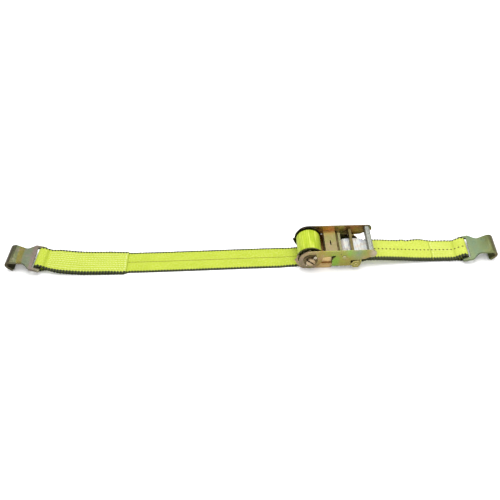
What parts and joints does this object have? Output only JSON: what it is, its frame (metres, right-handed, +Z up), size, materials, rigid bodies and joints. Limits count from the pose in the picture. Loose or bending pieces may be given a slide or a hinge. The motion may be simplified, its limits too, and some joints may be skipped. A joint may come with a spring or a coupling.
{
  "type": "ratchet tie down",
  "caption": "Ratchet tie-down strap: webbing wound on a ratchet drum with a folding handle, a short labelled fixed strap, and a flat hook at each end.",
  "frame": {"origin": "middle of the whole length and width, on the surface it lies on", "axes": "+X along the straps towards the short strap's hook, +Y across the webbing away from the nut side, +Z up; the drum's axis is parallel to Y"},
  "size_m": [0.9472, 0.0824, 0.054],
  "materials": {
    "zinc": "yellow zinc plated, iridescent",
    "zinc_dark": "yellow zinc plated, darker",
    "wheel": "dark phosphated steel",
    "bright": "clear zinc plated",
    "grip": "clear zinc plated tube",
    "hook": "olive yellow zinc plated",
    "webbing": "woven polyester, dark edges",
    "label": "plain white coated cloth"
  },
  "bodies": {
    "frame": {"frame_side_near": "zinc", "frame_side_far": "zinc", "frame_base": "zinc", "anchor_bolt": "zinc", "anchor_nut": "zinc", "anchor_sleeve": "zinc", "lock_spring": "bright"},
    "drum": {"drum_shaft_upper": "bright", "drum_shaft_lower": "bright", "ratchet_wheel_near": "wheel", "ratchet_wheel_far": "wheel", "hub_washer_near": "bright", "hub_washer_far": "bright", "cotter_pin_near": "bright", "cotter_pin_far": "bright", "webbing_roll": "webbing"},
    "handle": {"handle_side_near": "zinc", "handle_side_far": "zinc", "handle_bridge": "zinc", "handle_grip": "grip", "guide_rivet_near": "bright", "guide_rivet_far": "bright", "drive_spring": "bright"},
    "drive_pawl": {"drive_pawl": "zinc"},
    "lock_pawl": {"lock_pawl": "zinc_dark"},
    "short_strap": {"short_strap": "webbing", "strap_label": "label"},
    "right_hook": {"right_hook": "hook"},
    "long_strap": {"long_strap": "webbing"},
    "left_hook": {"left_hook": "hook"}
  },
  "joints": [
    {"name": "drum_spin", "type": "hinge", "parent": "frame", "child": "drum", "pos_m": [0.1072, 0, 0.028], "axis": [0, -1, 0], "continuous": true},
    {"name": "handle_swing", "type": "hinge", "parent": "frame", "child": "handle", "pos_m": [0.1072, 0, 0.028], "axis": [0, -1, 0], "range_deg": [0, 165]},
    {"name": "drive_pawl_slide", "type": "slide", "parent": "handle", "child": "drive_pawl", "axis": [1, 0, 0], "range_m": [0, 0.006], "stiffness_N_per_m": 600, "springref_m": -0.006, "deforming": ["drive_spring"]},
    {"name": "lock_pawl_slide", "type": "slide", "parent": "frame", "child": "lock_pawl", "axis": [1, 0, 0], "range_m": [0, 0.006], "stiffness_N_per_m": 600, "springref_m": -0.006, "deforming": ["lock_spring"]},
    {"name": "short_strap_swing", "type": "hinge", "parent": "frame", "child": "short_strap", "pos_m": [0.1942, 0, 0.0155], "axis": [0, -1, 0], "range_deg": [0, 15]},
    {"name": "right_hook_swing", "type": "hinge", "parent": "short_strap", "child": "right_hook", "pos_m": [0.41051, 0.00157, 0.00862], "axis": [-0.044, -0.999, 0], "range_deg": [-80, 90]},
    {"name": "long_strap_swing", "type": "hinge", "parent": "frame", "child": "long_strap", "pos_m": [0.1072, 0, 0.028], "axis": [0, 1, 0], "range_deg": [0, 8]},
    {"name": "left_hook_swing", "type": "hinge", "parent": "long_strap", "child": "left_hook", "pos_m": [-0.41021, 0.00401, 0.01134], "axis": [0.0629, 0.998, 0], "range_deg": [-80, 90]}
  ]
}
